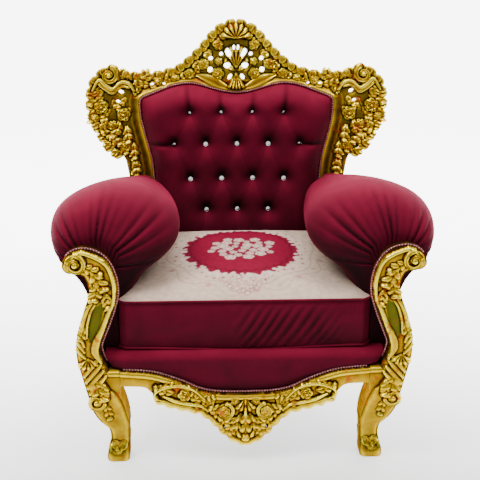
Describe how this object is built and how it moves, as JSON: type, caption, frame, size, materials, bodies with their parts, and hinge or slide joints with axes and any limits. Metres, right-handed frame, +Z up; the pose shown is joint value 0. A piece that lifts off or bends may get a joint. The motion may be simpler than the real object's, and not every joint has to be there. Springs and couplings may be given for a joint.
{
  "type": "throne armchair",
  "caption": "Carved and gilded rococo-revival throne armchair with deep-buttoned velvet back, overstuffed scroll arms, cabriole legs and a loose medallion seat cushion.",
  "frame": {"origin": "on the floor under the middle of the chair's bounding box", "axes": "+X to the chair's right as seen from the front, the front faces -Y, +Z up"},
  "size_m": [1.1078, 0.9, 1.166],
  "materials": {
    "gilt_wood": "carved beech with burnished gold leaf and dark glaze",
    "velvet": "burgundy pile velvet over stuffing",
    "cushion_cloth": "cream jacquard top with a crimson medallion, burgundy velvet border",
    "braid": "rose nail-head braid",
    "crystal": "cut glass button with a silvered back"
  },
  "bodies": {
    "root": {"back_frame": "gilt_wood", "front_post_left": "gilt_wood", "front_post_right": "gilt_wood", "front_rail": "gilt_wood", "side_rail_left": "gilt_wood", "side_rail_right": "gilt_wood", "back_rail": "gilt_wood", "rear_leg_left": "gilt_wood", "rear_leg_right": "gilt_wood", "seat_deck": "velvet", "seat_cushion": "cushion_cloth", "arm_left": "velvet", "arm_right": "velvet", "back_pad": "velvet", "back_cover": "velvet", "braid_back": "braid", "braid_rail": "braid", "button_1_1": "crystal", "button_1_2": "crystal", "button_1_3": "crystal", "button_1_4": "crystal", "button_2_1": "crystal", "button_2_2": "crystal", "button_2_3": "crystal", "button_2_4": "crystal", "button_2_5": "crystal", "button_3_1": "crystal", "button_3_2": "crystal", "button_3_3": "crystal", "button_3_4": "crystal", "button_4_1": "crystal", "button_4_2": "crystal", "button_4_3": "crystal"}
  },
  "joints": []
}
